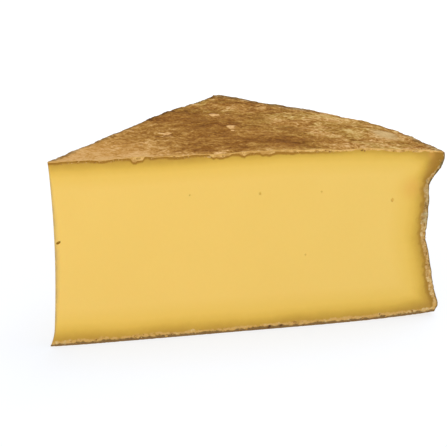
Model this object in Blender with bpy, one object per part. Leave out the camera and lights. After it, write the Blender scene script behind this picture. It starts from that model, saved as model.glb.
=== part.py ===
"""Cheese wedge: one sector cut from a tall pressed wheel with a concave heel.

The wheel's section is a grid bent to its outline, swept round the wheel's axis by the angle of
the wedge. The thin edge at the axis is then rounded, and the rind gets its waves, crags and
flakes. The frame's origin is under the middle of the bounding box: +X runs along the front cut
from the thin edge to the heel, and the front cut faces -Y.
"""

import math

import bmesh
import bpy
from mathutils import Matrix, Vector, noise

# The wheel, in metres
RADIUS = 0.2705  # from its axis to the lips of the heel
HEIGHT = 0.125  # at its axis
CROWN_FROM = 0.49  # share of the radius where the top starts to fall
CROWN_DROP = 0.0066  # its fall at the rim
BASE_FLAT_TO = 0.66  # share of the radius that rests on the table
BASE_RISE = 0.0025  # rise of the base at the rim
OUT_OF_ROUND = 0.003  # how much the radius grows across the wedge
# The heel, pressed hollow by its hoop, from the lower lip to the upper one: (inset, height)
HEEL = (
    (0.0026, 0.0028),
    (0.0004, 0.0074),
    (0.0014, 0.0127),
    (0.0041, 0.0206),
    (0.0064, 0.0320),
    (0.0093, 0.0480),
    (0.0117, 0.0580),
    (0.0117, 0.0690),
    (0.0109, 0.0840),
    (0.0112, 0.0935),
    (0.0078, 0.1011),
    (0.0032, 0.1073),
    (0.0010, 0.1142),
    (0.0020, 0.1180),
)
# The cut
WEDGE_ANGLE = math.radians(53.2)
EDGE_RADIUS = 0.0005  # of the thin edge at its two ends
EDGE_WORN = 0.0032  # added to it halfway up
EDGE_REACH = 0.030  # how far out the rounding fades away
TIP_LIFT = 0.0006  # of the base under the thin edge
TIP_LIFT_LENGTH = 0.035
FOOT_SPREAD = 0.0012  # of the thin edge where it meets the base
FOOT_HEIGHT = 0.012
TIP_REACH = 0.0012  # how far the thin edge leans out past the axis
TIP_FADE = 0.025
# The relief of the rind
WAVE = 0.0007
WAVE_LENGTH = 0.034
RIPPLE = 0.00045
RIPPLE_LENGTH = 0.011
HEEL_WAVE = 0.0009
HEEL_WAVE_LENGTH = 0.022
SKIN = 0.010  # depth over which a wave of the rind fades into the paste
# Torn rind on the front cut: (x, height, half width, half height, how far it stands out)
FLAKES = (
    (0.0573, 0.1228, 0.0060, 0.0034, 0.0014),
    (0.1117, 0.1240, 0.0085, 0.0023, 0.0017),
    (0.1279, 0.1243, 0.0034, 0.0015, 0.0010),
    (0.1450, 0.1236, 0.0060, 0.0017, 0.0012),
    (0.0330, 0.0016, 0.0050, 0.0018, 0.0010),
    (0.0920, 0.0010, 0.0044, 0.0014, 0.0008),
)
FRINGE = 0.0008  # ragged edge of the rind along both cuts
FRINGE_DEPTH = 0.0026
# Crags on top: (x, y, radius, height)
CRAGS = (
    (0.1430, 0.2040, 0.0090, 0.0012),
    (0.1660, 0.2140, 0.0440, 0.0019),
    (0.1580, 0.2140, 0.0140, 0.0009),
    (0.1376, 0.1251, 0.0080, 0.0009),
    (0.1393, 0.0787, 0.0090, 0.0009),
    (0.2453, 0.0495, 0.0150, 0.0008),
    (0.1895, 0.0745, 0.0120, -0.0007),
    (0.0934, 0.0646, 0.0100, -0.0006),
    (0.1590, 0.0320, 0.0140, -0.0007),
)
# A slit in the rounded thin edge, (x, y, height), and a few pinholes in the front cut, (x, height)
SLIT = (0.0043, 0.0007, 0.0715)
SLIT_SIZE = (0.0007, 0.0010, 0.0023)  # half sizes across, into the paste and up
SLIT_TILT = math.radians(50.0)
PINHOLES = (
    (0.0922, 0.0983),
    (0.1398, 0.0965),
    (0.1721, 0.0518),
    (0.1824, 0.0953),
    (0.2331, 0.0863),
)
PINHOLE_SIZE = (0.0006, 0.0014, 0.0006)
# The mesh
ROWS = 52  # along the radius
LEVELS = 30  # up the heel
COLUMNS = 32  # round the heel, a power of two
LEAST_STEP = 0.0021  # between columns near the thin edge


def fade(distance, reach):
    """1 at the surface, 0 from the reach inwards, smooth between."""
    t = min(max(distance / reach, 0.0), 1.0)
    return 1.0 - t * t * (3.0 - 2.0 * t)


def squeeze(t, amount):
    """A share from 0 to 1 with finer steps at both ends."""
    return t - amount * math.sin(2.0 * math.pi * t) / (2.0 * math.pi)


def top_height(radius):
    out = max(radius / RADIUS - CROWN_FROM, 0.0) / (1.0 - CROWN_FROM)
    return HEIGHT - CROWN_DROP * out * out


def base_height(radius):
    out = max(radius / RADIUS - BASE_FLAT_TO, 0.0) / (1.0 - BASE_FLAT_TO)
    tip = max(1.0 - radius / TIP_LIFT_LENGTH, 0.0)
    return BASE_RISE * out * out + TIP_LIFT * tip * tip


def heel_point(t):
    """A smooth curve through the heel's points, t from 0 at the base to 1 at the top."""
    points = [Vector((RADIUS - inset, height)) for inset, height in HEEL]
    lengths = [0.0]
    for near, far in zip(points, points[1:]):
        lengths.append(lengths[-1] + (far - near).length)
    target = t * lengths[-1]
    i = 0
    while i < len(points) - 2 and lengths[i + 1] < target:
        i += 1
    s = (target - lengths[i]) / (lengths[i + 1] - lengths[i])
    before = points[max(i - 1, 0)]
    near = points[i]
    far = points[i + 1]
    after = points[min(i + 2, len(points) - 1)]
    bend = 2.0 * before - 5.0 * near + 4.0 * far - after
    twist = 3.0 * near - before - 3.0 * far + after
    return near + 0.5 * (s * (far - before) + s * s * bend + s * s * s * twist)


def section_point(u, w):
    """Radius and height inside the wheel's section: u from the axis out, w from the base up."""
    inner = 2.0 * EDGE_RADIUS
    foot = heel_point(0.0)
    lip = heel_point(1.0)
    base_at = inner + u * (foot.x - inner)
    top_at = inner + u * (lip.x - inner)
    base = Vector((base_at, base_height(base_at) + (foot.y - base_height(foot.x)) * u**24))
    top = Vector((top_at, top_height(top_at) + (lip.y - top_height(lip.x)) * u**30))
    edge = Vector((inner, base_height(inner) + w * (HEIGHT - base_height(inner))))
    heel = heel_point(w)
    corners = (1.0 - u) * ((1.0 - w) * Vector((inner, base_height(inner))) + w * Vector((inner, HEIGHT)))
    corners = corners + u * ((1.0 - w) * foot + w * lip)
    return (1.0 - w) * base + w * top + (1.0 - u) * edge + u * heel - corners


def heel_radius(height):
    """The heel's radius at a height, read along its straight chords."""
    if height <= HEEL[0][1]:
        return RADIUS - HEEL[0][0]
    for (near, low), (far, high) in zip(HEEL, HEEL[1:]):
        if height <= high:
            s = (height - low) / (high - low)
            return RADIUS - near - s * (far - near)
    return RADIUS - HEEL[-1][0]


def swept_section():
    """The closed wedge with no relief, its columns thinned out towards the thin edge."""
    bm = bmesh.new()
    bmesh.ops.create_grid(bm, x_segments=ROWS, y_segments=LEVELS, size=0.5)
    for vert in bm.verts:
        at = section_point(squeeze(vert.co.x + 0.5, 0.45), squeeze(vert.co.y + 0.5, 0.55))
        vert.co = (at.x, 0.0, at.y)
    everything = bm.verts[:] + bm.edges[:] + bm.faces[:]
    bmesh.ops.spin(
        bm,
        geom=everything,
        axis=(0.0, 0.0, 1.0),
        cent=(0.0, 0.0, 0.0),
        angle=WEDGE_ANGLE,
        steps=COLUMNS,
    )
    places = {}
    for vert in bm.verts:
        radius = math.hypot(vert.co.x, vert.co.y)
        column = round(COLUMNS * math.atan2(vert.co.y, vert.co.x) / WEDGE_ANGLE)
        places[round(radius, 6), round(vert.co.z, 6), column] = vert
    welds = {}
    for (radius, height, column), vert in places.items():
        every = 1
        while every < COLUMNS // 4 and every * radius * WEDGE_ANGLE / COLUMNS < LEAST_STEP:
            every *= 2
        kept = every * round(column / every)
        if kept != column:
            welds[vert] = places[radius, height, kept]
    bmesh.ops.weld_verts(bm, targetmap=welds)
    return bm


def bump(x, y, centre_x, centre_y, half_x, half_y):
    """A rounded lump, 1 at its middle and 0 at its outline."""
    away = math.hypot((x - centre_x) / half_x, (y - centre_y) / half_y)
    return fade(away, 1.0)


def rounded_edge(radius, angle, height):
    """Moves the thin edge out to an arc that touches both cuts."""
    worn = EDGE_RADIUS + EDGE_WORN * math.sin(math.pi * min(max(height / HEIGHT, 0.0), 1.0)) ** 0.8
    middle = worn / math.sin(WEDGE_ANGLE / 2.0)
    off = angle - WEDGE_ANGLE / 2.0
    root = max(worn**2 - (middle * math.sin(off)) ** 2, 0.0)
    arc = middle * math.cos(off) - math.sqrt(root)
    return radius + (arc - 2.0 * EDGE_RADIUS) * max(1.0 - radius / EDGE_REACH, 0.0) ** 2


def with_relief(point):
    """Where a point of the plain wedge ends up on the real one."""
    radius = math.hypot(point.x, point.y)
    share = math.atan2(point.y, point.x) / WEDGE_ANGLE
    angle = WEDGE_ANGLE * squeeze(share, 0.5)
    height = point.z
    under_top = top_height(radius) - height
    over_base = height - base_height(radius)
    in_heel = heel_radius(height) - radius
    radius = rounded_edge(radius, angle, height)
    radius *= 1.0 + OUT_OF_ROUND / RADIUS * share
    place = Vector((radius * math.cos(angle), radius * math.sin(angle), height))
    x = place.x
    y = place.y

    wave = WAVE * noise.noise(place / WAVE_LENGTH)
    wave += RIPPLE * noise.noise(place / RIPPLE_LENGTH)
    for crag_x, crag_y, reach, rise in CRAGS:
        wave += rise * bump(x, y, crag_x, crag_y, reach, reach)
    place.z += wave * fade(under_top, SKIN) * fade(-in_heel, 0.004)

    rind = HEEL_WAVE * noise.noise(Vector((x, y, 0.6 * height)) / HEEL_WAVE_LENGTH)
    rind += RIPPLE * noise.noise(place / RIPPLE_LENGTH + Vector((7.0, 0.0, 0.0)))
    out = Vector((math.cos(angle), math.sin(angle), 0.0))
    place += out * rind * fade(in_heel, SKIN) * (1.0 - fade(over_base, 0.004))

    spread = FOOT_SPREAD * max(1.0 - over_base / FOOT_HEIGHT, 0.0) ** 2
    place.x -= (spread + TIP_REACH) * fade(radius, TIP_FADE)

    if share < 0.001:
        proud = 0.0
        for flake_x, flake_z, half_x, half_z, rise in FLAKES:
            proud += rise * bump(x, height, flake_x, flake_z, half_x, half_z)
        ragged = 0.5 + 0.5 * noise.noise(Vector((x / 0.006, 3.0, height / 0.006)))
        place.y -= proud + FRINGE * ragged * fade(under_top, FRINGE_DEPTH)
    if share > 0.999:
        ragged = 0.5 + 0.5 * noise.noise(Vector((radius / 0.006, 9.0, height / 0.006)))
        side = Vector((-math.sin(angle), math.cos(angle), 0.0))
        place += side * FRINGE * ragged * fade(under_top, FRINGE_DEPTH)
    return place


def own_collection(name):
    collection = bpy.data.collections.new(name)
    bpy.context.scene.collection.children.link(collection)
    return collection


def paste_material():
    material = bpy.data.materials.new("straw_yellow_paste")
    material.use_nodes = True
    shader = material.node_tree.nodes["Principled BSDF"]
    shader.inputs["Base Color"].default_value = (0.86, 0.58, 0.16, 1.0)
    shader.inputs["Roughness"].default_value = 0.55
    shader.inputs["Metallic"].default_value = 0.0
    return material


def wedge(collection):
    bm = swept_section()
    for vert in bm.verts:
        vert.co = with_relief(vert.co)
    bmesh.ops.recalc_face_normals(bm, faces=bm.faces)
    low = Vector([min(vert.co[i] for vert in bm.verts) for i in range(3)])
    high = Vector([max(vert.co[i] for vert in bm.verts) for i in range(3)])
    middle = Vector(((low.x + high.x) / 2.0, (low.y + high.y) / 2.0, low.z))
    bmesh.ops.translate(bm, verts=bm.verts, vec=-middle)
    mesh = bpy.data.meshes.new("cheese_wedge")
    bm.to_mesh(mesh)
    bm.free()
    mesh.materials.append(paste_material())
    mesh.shade_smooth()
    mesh.set_sharp_from_angle(angle=math.radians(40.0))
    solid = bpy.data.objects.new("cheese_wedge", mesh)
    collection.objects.link(solid)
    return solid, middle


def hollow(bm, place, size, tilt):
    """A lens whose middle is on the face that it cuts."""
    turn = Matrix.Rotation(tilt, 4, "Y")
    stretch = Matrix.Diagonal((*size, 1.0))
    at = Matrix.Translation(place)
    bmesh.ops.create_uvsphere(bm, u_segments=8, v_segments=6, radius=1.0, matrix=at @ turn @ stretch)


def hole_cutter(collection, middle):
    """One object that leaves the slit and the pinholes in the front cut."""
    bm = bmesh.new()
    hollow(bm, SLIT, SLIT_SIZE, SLIT_TILT)
    for x, height in PINHOLES:
        hollow(bm, (x, 0.0, height), PINHOLE_SIZE, 0.0)
    mesh = bpy.data.meshes.new("hole_cutter")
    bm.to_mesh(mesh)
    bm.free()
    cutter = bpy.data.objects.new("hole_cutter", mesh)
    cutter.location = -middle
    cutter.hide_render = True
    cutter.display_type = "WIRE"
    collection.objects.link(cutter)
    return cutter


def main():
    for thing in list(bpy.data.objects):
        bpy.data.objects.remove(thing, do_unlink=True)
    parts = own_collection("cheese_wedge")
    cutters = own_collection("cutters")
    solid, middle = wedge(parts)
    cut = solid.modifiers.new("holes", "BOOLEAN")
    cut.operation = "DIFFERENCE"
    cut.solver = "EXACT"
    cut.object = hole_cutter(cutters, middle)


main()
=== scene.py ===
# a wedge of hard cheese on a white table: a fine surface that stands for the plain solid, the loose
# crumbs of rind on its torn edges, and the camera and light
import math
import random
import bmesh
import bpy
from mathutils import Matrix, Vector, noise


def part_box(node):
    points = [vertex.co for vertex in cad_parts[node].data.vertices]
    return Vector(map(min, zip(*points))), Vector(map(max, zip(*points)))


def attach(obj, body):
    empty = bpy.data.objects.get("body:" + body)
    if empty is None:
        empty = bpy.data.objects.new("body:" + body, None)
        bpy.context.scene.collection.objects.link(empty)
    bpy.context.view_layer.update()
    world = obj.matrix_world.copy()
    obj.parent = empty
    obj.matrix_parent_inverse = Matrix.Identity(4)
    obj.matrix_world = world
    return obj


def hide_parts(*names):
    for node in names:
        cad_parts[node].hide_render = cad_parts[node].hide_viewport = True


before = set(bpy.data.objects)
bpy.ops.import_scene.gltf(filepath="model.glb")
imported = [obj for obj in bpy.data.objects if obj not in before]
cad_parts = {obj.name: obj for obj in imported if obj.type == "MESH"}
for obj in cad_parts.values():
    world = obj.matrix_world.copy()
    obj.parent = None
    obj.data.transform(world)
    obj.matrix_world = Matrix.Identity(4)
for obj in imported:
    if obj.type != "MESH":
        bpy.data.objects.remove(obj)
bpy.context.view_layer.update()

mm = 0.001
noiseSeed = 7
noise.seed_set(noiseSeed)  # without it the noise that warps the rind differs from run to run

wheel = {
    "axis": (1.774 * mm, 1.359 * mm),  # in from the low corner of the wedge's box
    "radius": 270.5 * mm,
    "height": 125.0 * mm,
    "angle": math.radians(53.2),
    "outOfRound": 3.0 * mm,  # how much longer the back cut is than the front one
    "crownFrom": 0.49,  # share of the radius where the top starts to fall
    "crownDrop": 6.6 * mm,
    "baseFlatTo": 0.66,  # share of the radius where the base starts to rise
    "baseRise": 2.5 * mm,
    "lipTurn": 30,  # the larger, the later the top bends to meet the upper lip
    "footTurn": 24,  # the same for the base and the lower lip
    "edgeRadius": 0.5 * mm,  # of the thin edge at its ends
    "edgeWorn": 3.2 * mm,  # what wear adds to it halfway up
    "wearShape": 0.8,
    "edgeReach": 30.0 * mm,
    "tipLift": 0.6 * mm,  # the base is off the table at the thin edge
    "tipLiftLength": 35.0 * mm,
    "tipReach": 0.3 * mm,  # how far the thin edge leans out past the axis
    "tipFade": 25.0 * mm,
    "footSpread": 2.1 * mm,  # how much wider the foot of the thin edge is
    "footHeight": 12.0 * mm,
    "edgeShadeFrom": 2.6 * mm,  # painted shade on the thin edge, full this far in, and then less
    "edgeShadeOver": 2.4 * mm,
    # from the lower lip to the upper one: inset and height in mm
    "heel": (
        (2.6, 2.8),
        (0.4, 7.4),
        (1.4, 12.7),
        (4.1, 20.6),
        (6.4, 32.0),
        (9.3, 48.0),
        (11.7, 58.0),
        (11.7, 69.0),
        (10.9, 84.0),
        (11.2, 93.5),
        (7.8, 101.1),
        (3.2, 107.3),
        (1.0, 114.2),
        (2.0, 118.0),
    ),
}
# points along the radius, up the height and around the axis, and how much they crowd at the edges
grid = {
    "rows": 184,
    "levels": 82,
    "columns": 256,
    "crowdOut": 0.45,
    "crowdUp": 0.5,
    "crowdAround": 0.5,
    "weld": 0.002 * mm,
    "leastStep": 0.95 * mm,  # columns that come closer than this are merged
    "mostMerged": 32,
    "sharpFrom": math.radians(48.0),  # edges that bend more than this are shaded sharp
}
materialSlots = {"rind": 0, "paste": 1, "slit": 2, "pinhole": 3}

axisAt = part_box("cheese_wedge")[0] + Vector((*wheel["axis"], 0.0))
innerRadius = 2.0 * wheel["edgeRadius"]  # where the swept rind ends beside the axis
print("wheel axis at", [round(value / mm, 2) for value in axisAt], "mm")


def clamped(value):
    return min(max(value, 0.0), 1.0)


# 1 at no distance, and 0 from the reach on
def fade(distance, reach):
    t = clamped(distance / reach)
    return 1.0 - t * t * (3.0 - 2.0 * t)


# 1 at the centre of an oval spot, and 0 outside it
def bump(x, y, centreX, centreY, halfX, halfY):
    return fade(math.hypot((x - centreX) / halfX, (y - centreY) / halfY), 1.0)


def crowded(t, amount):
    return t - amount * math.sin(2.0 * math.pi * t) / (2.0 * math.pi)


# noise in metres from waves given as height and length in mm
def uneven(place, waves):
    return sum(rise * mm * noise.noise(place / (length * mm)) for rise, length in waves)


def newObject(name, data):
    made = bpy.data.objects.new(name, data)
    bpy.context.scene.collection.objects.link(made)
    return made


# the object's mesh with its modifiers applied, and the object gone
def appliedMesh(made):
    mesh = bpy.data.meshes.new_from_object(made.evaluated_get(bpy.context.evaluated_depsgraph_get()))
    bpy.data.objects.remove(made)
    return mesh


# 0 inside the given share of the radius, and 1 at the rim
def pastShare(radius, start):
    return max(radius / wheel["radius"] - start, 0.0) / (1.0 - start)


def topHeight(radius):
    out = pastShare(radius, wheel["crownFrom"])
    return wheel["height"] - wheel["crownDrop"] * out * out


def baseHeight(radius):
    out = pastShare(radius, wheel["baseFlatTo"])
    tip = max(1.0 - radius / wheel["tipLiftLength"], 0.0)
    return wheel["baseRise"] * out * out + wheel["tipLift"] * tip * tip


heelCurve = [Vector((wheel["radius"] - inset * mm, height * mm)) for inset, height in wheel["heel"]]
heelLengths = [0.0]
for near, far in zip(heelCurve, heelCurve[1:]):
    heelLengths.append(heelLengths[-1] + (far - near).length)


# a smooth curve through the heel's points, with t from 0 at the lower lip to 1 at the upper one
def heelPoint(t):
    target = t * heelLengths[-1]
    i = 0
    while i < len(heelCurve) - 2 and heelLengths[i + 1] < target:
        i += 1
    s = (target - heelLengths[i]) / (heelLengths[i + 1] - heelLengths[i])
    before = heelCurve[max(i - 1, 0)]
    near = heelCurve[i]
    far = heelCurve[i + 1]
    after = heelCurve[min(i + 2, len(heelCurve) - 1)]
    bend = 2.0 * before - 5.0 * near + 4.0 * far - after
    twist = 3.0 * near - before - 3.0 * far + after
    return near + 0.5 * (s * (far - before) + s * s * bend + s * s * s * twist)


def heelRadius(height):
    if height <= heelCurve[0].y:
        return heelCurve[0].x
    for near, far in zip(heelCurve, heelCurve[1:]):
        if height <= far.y:
            return near.x + (far.x - near.x) * (height - near.y) / (far.y - near.y)
    return heelCurve[-1].x


# a point of a cut: u runs from the thin edge to the heel, and w from the base to the top
def sectionPoint(u, w):
    foot = heelPoint(0.0)
    lip = heelPoint(1.0)
    baseAt = innerRadius + u * (foot.x - innerRadius)
    topAt = innerRadius + u * (lip.x - innerRadius)
    base = Vector((baseAt, baseHeight(baseAt) + (foot.y - baseHeight(foot.x)) * u ** wheel["footTurn"]))
    top = Vector((topAt, topHeight(topAt) + (lip.y - topHeight(lip.x)) * u ** wheel["lipTurn"]))
    lowCorner = Vector((innerRadius, baseHeight(innerRadius)))
    highCorner = Vector((innerRadius, wheel["height"]))
    edge = lowCorner.lerp(highCorner, w)
    corners = edge * (1.0 - u) + foot.lerp(lip, w) * u
    return base.lerp(top, w) + edge * (1.0 - u) + heelPoint(w) * u - corners


# a cut as a grid of faces, and its outline as a loop of edges
def cutAndOutline():
    section = bmesh.new()
    bmesh.ops.create_grid(section, x_segments=grid["rows"], y_segments=grid["levels"], size=0.5)
    for vert in section.verts:
        u = crowded(vert.co.x + 0.5, grid["crowdOut"])
        w = crowded(vert.co.y + 0.5, grid["crowdUp"])
        at = sectionPoint(u, w)
        vert.co = (at.x, 0.0, at.y)
    cut = bpy.data.meshes.new("cut")
    section.to_mesh(cut)
    bmesh.ops.delete(section, geom=section.faces[:], context="FACES_ONLY")
    inside = [edge for edge in section.edges if any(len(vert.link_edges) > 3 for vert in edge.verts)]
    bmesh.ops.delete(section, geom=inside, context="EDGES")
    loose = [vert for vert in section.verts if not vert.link_edges]
    bmesh.ops.delete(section, geom=loose, context="VERTS")
    outline = bpy.data.meshes.new("outline")
    section.to_mesh(outline)
    section.free()
    return cut, outline


def sweptRind(outline):
    profile = newObject("profile", outline)
    sweep = profile.modifiers.new("sweep", "SCREW")
    sweep.angle = wheel["angle"]
    sweep.steps = grid["columns"]
    sweep.render_steps = grid["columns"]
    sweep.use_merge_vertices = False
    return appliedMesh(profile)


# towards the axis the columns come close, so only every second, fourth or eighth one is kept there
def mergeColumns(bm):
    places = {}
    for vert in bm.verts:
        radius = math.hypot(vert.co.x, vert.co.y)
        column = round(grid["columns"] * math.atan2(vert.co.y, vert.co.x) / wheel["angle"])
        places[round(radius, 5), round(vert.co.z, 5), column] = vert  # to 0.01 mm
    welds = {}
    for (radius, height, column), vert in places.items():
        every = 1
        step = radius * wheel["angle"] / grid["columns"]
        while every < grid["mostMerged"] and every * step < grid["leastStep"]:
            every *= 2
        kept = every * round(column / every)
        if kept != column and (radius, height, kept) in places:
            welds[vert] = places[radius, height, kept]
    bmesh.ops.weld_verts(bm, targetmap=welds)


# the plain wedge: two cuts and the rind swept between them
def sweptWedge():
    cut, outline = cutAndOutline()
    bm = bmesh.new()
    bm.from_mesh(sweptRind(outline))
    rindFaces = len(bm.faces)
    bm.from_mesh(cut)
    cut.transform(Matrix.Rotation(wheel["angle"], 4, "Z"))
    bm.from_mesh(cut)
    bm.faces.ensure_lookup_table()
    for face in bm.faces[rindFaces:]:
        face.material_index = materialSlots["paste"]
    bmesh.ops.remove_doubles(bm, verts=bm.verts, dist=grid["weld"])
    mergeColumns(bm)
    for face in bm.faces:
        reach = max(math.hypot(vert.co.x, vert.co.y) for vert in face.verts)
        if reach < 1.05 * innerRadius:  # the thin edge itself is paste too
            face.material_index = materialSlots["paste"]
    print("swept", len(bm.verts), "points")
    return bm


relief = {
    "skin": 10.0 * mm,  # how deep into the cuts the waves of the rind reach
    "wave": 0.7 * mm,
    "waveLength": 34.0 * mm,
    "ripple": 0.45 * mm,
    "rippleLength": 11.0 * mm,
    "heelWave": 0.9 * mm,
    "heelWaveLength": 22.0 * mm,
    "rimSmooth": 4.0 * mm,  # the waves fade out this far past the lips
    "lipSmooth": 3.0 * mm,
    "fineSkin": 2.4 * mm,  # the same depth for wrinkles and flakes
    "wrinkle": 0.30 * mm,
    "wrinkleLength": 5.5 * mm,
    "wrinkleStretch": 0.62,
    "wrinkleLevel": 0.4,  # takes the mean out of the wrinkles
    "plate": 0.34 * mm,  # thin flakes of dry rind with a small step at their rim
    "plateLength": 13.0 * mm,
    "plateStep": 0.10,
    "warp": 5.0 * mm,  # bends the wrinkles and flakes
    "warpLength": 19.0 * mm,
    "basePit": 0.1 * mm,  # small gaps where the base rind is off the table
    "basePitReach": 1.2 * mm,
    "basePitMargin": 0.02,  # share of the angle beside each cut that has none
    # low bumps and hollows of the top: x, y, radius and rise, all in mm
    "crags": (
        (143.0, 204.0, 9.0, 1.2),
        (166.0, 214.0, 44.0, 1.9),
        (158.0, 214.0, 14.0, 0.9),
        (137.6, 127.0, 10.0, 0.5),
        (139.3, 78.7, 9.0, 0.5),
        (245.3, 49.5, 15.0, 0.8),
        (189.5, 74.5, 12.0, -0.7),
        (159.0, 32.0, 14.0, -0.7),
    ),
}
# the rind's torn rim on the cuts: how far it hangs from the top, rises from the base and reaches in from
# the heel, each with waves as height and length in mm
tears = {
    "frontSeed": 3.0,
    "backSeed": 9.0,
    "hangs": 1.1 * mm,
    "cleanCut": 1.3 * mm,  # taken off nearer the thin edge, where the rind is cut clean
    "cleanTo": 150.0 * mm,
    "cleanFade": 50.0 * mm,
    "hangWaves": ((0.6, 12.0), (0.6, 3.2)),
    "rises": 3.5 * mm,
    "riseWaves": ((0.9, 9.0), (0.9, 3.0)),
    "reaches": 2.9 * mm,
    "reachWaves": ((1.3, 9.0), (1.0, 3.2)),
    "thinLip": 1.6 * mm,  # taken off at the upper lip
    "lipMiddle": 112.0 * mm,
    "lipHalf": 14.0 * mm,
    "stands": 0.8 * mm,  # how far the torn rim stands out of the cuts
    "slope": 0.9 * mm,
    "roughLength": 2.4 * mm,
    "grit": 0.5 * mm,
    "gritLevel": 0.15 * mm,
    "gritLength": 1.9 * mm,
    "gritSlope": 0.8 * mm,
    "knifeWaves": ((0.10, 26.0),),
    "flakeLength": 2.6 * mm,
    "flakeShape": 0.6,  # below 1 a flake is blunter
    # torn rind on the front cut: x, half width, how far it hangs and how far it stands out, in mm
    "flakes": (
        (57.3, 6.5, 3.0, 1.5),
        (111.7, 9.0, 2.2, 1.6),
        (127.9, 4.0, 1.0, 0.9),
        (145.0, 6.5, 1.2, 1.1),
        (84.0, 9.0, 0.8, 0.7),
        (35.0, 12.0, 0.5, 0.7),
    ),
    # the same at the base: x, half width and how far it rises
    "baseFlakes": ((33.0, 5.5, 1.2), (92.0, 5.0, 1.0), (126.0, 4.0, 0.8)),
    # chips out of the rind at the foot of the front cut: x, height, half width, half height and depth
    "chips": ((147.3, 1.7, 2.8, 1.9, 1.3), (155.2, 2.2, 1.9, 2.2, 1.2)),
}


def wornEdge(height):
    share = clamped(height / wheel["height"])
    return wheel["edgeRadius"] + wheel["edgeWorn"] * math.sin(math.pi * share) ** wheel["wearShape"]


# the thin edge is an arc that touches both cuts, wider halfway up
def roundedEdge(radius, angle, height):
    worn = wornEdge(height)
    middle = worn / math.sin(wheel["angle"] / 2.0)
    off = angle - wheel["angle"] / 2.0
    root = max(worn**2 - (middle * math.sin(off)) ** 2, 0.0)
    arc = middle * math.cos(off) - math.sqrt(root)
    near = max(1.0 - radius / wheel["edgeReach"], 0.0)
    return radius + (arc - innerRadius) * near**2


# the rind's fine height in metres, and the same as -1 in the hollows to 1 on the crests
def rindRelief(place):
    at = place + noise.noise_vector(place / relief["warpLength"]) * relief["warp"]
    stretched = Vector((at.x * relief["wrinkleStretch"], at.y, at.z))
    wrinkle = 1.0 - 2.0 * abs(noise.noise(stretched / relief["wrinkleLength"]))
    wrinkle += 0.5 * noise.noise(stretched / (0.45 * relief["wrinkleLength"]))
    wrinkle -= relief["wrinkleLevel"]
    flake = noise.noise(at / relief["plateLength"] + Vector((4.0, 1.0, 0.0)))
    plate = fade(-flake, relief["plateStep"]) - 0.5
    rise = relief["wrinkle"] * wrinkle + relief["plate"] * plate
    return rise, max(min(0.6 * wrinkle + 0.5 * plate, 1.0), -1.0)


def topWave(start):
    wave = relief["wave"] * noise.noise(start / relief["waveLength"])
    wave += relief["ripple"] * noise.noise(start / relief["rippleLength"])
    for cragX, cragY, reach, rise in relief["crags"]:
        wave += rise * mm * bump(start.x, start.y, cragX * mm, cragY * mm, reach * mm, reach * mm)
    return wave


def heelWave(start):
    drawnUp = Vector((start.x, start.y, 0.6 * start.z))
    wave = relief["heelWave"] * noise.noise(drawnUp / relief["heelWaveLength"])
    return wave + relief["ripple"] * noise.noise(start / relief["rippleLength"] + Vector((7.0, 0.0, 0.0)))


# how far the torn rim hangs, rises and reaches in at a point, and how far it stands out under the top
def tornRim(start, onFront):
    seed = tears["frontSeed"] if onFront else tears["backSeed"]
    along = Vector((start.x if onFront else start.length, seed, 0.0))
    upward = Vector((0.0, seed, start.z))
    hangs = tears["hangs"] - tears["cleanCut"] * fade(start.length - tears["cleanTo"], tears["cleanFade"])
    hangs += uneven(along, tears["hangWaves"])
    rises = tears["rises"] + uneven(along, tears["riseWaves"])
    reaches = tears["reaches"] + uneven(upward, tears["reachWaves"])
    reaches -= tears["thinLip"] * bump(0.0, start.z, 0.0, tears["lipMiddle"], 1.0, tears["lipHalf"])
    stands = tears["stands"]
    if onFront:
        for flakeX, half, drop, stand in tears["flakes"]:
            lump = bump(start.x, 0.0, flakeX * mm, 0.0, half * mm, 1.0) ** tears["flakeShape"]
            hangs += drop * mm * lump * (1.0 + 0.7 * noise.noise(along / tears["flakeLength"]))
            stands += (stand * mm - tears["stands"]) * lump
        for flakeX, half, rise in tears["baseFlakes"]:
            rises += rise * mm * bump(start.x, 0.0, flakeX * mm, 0.0, half * mm, 1.0)
    return hangs, rises, reaches, stands


# how far a point stands out of its cut, and how deep it lies in a chip, from 0 to 1
def cutRelief(start, onFront, torn, gritty, stands):
    rough = 0.6 + 0.4 * noise.noise(start / tears["roughLength"])
    rise = stands * clamped(torn / tears["slope"]) * rough
    grit = tears["grit"] * noise.noise(start / tears["gritLength"])
    rise += (tears["gritLevel"] + grit) * clamped(gritty / tears["gritSlope"])
    rise += uneven(start, tears["knifeWaves"])
    chipped = 0.0
    if onFront:
        for chipX, chipHeight, halfWide, halfHigh, depth in tears["chips"]:
            chip = bump(start.x, start.z, chipX * mm, chipHeight * mm, halfWide * mm, halfHigh * mm)
            rise -= depth * mm * chip
            chipped = max(chipped, chip)
    return rise, chipped


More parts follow.
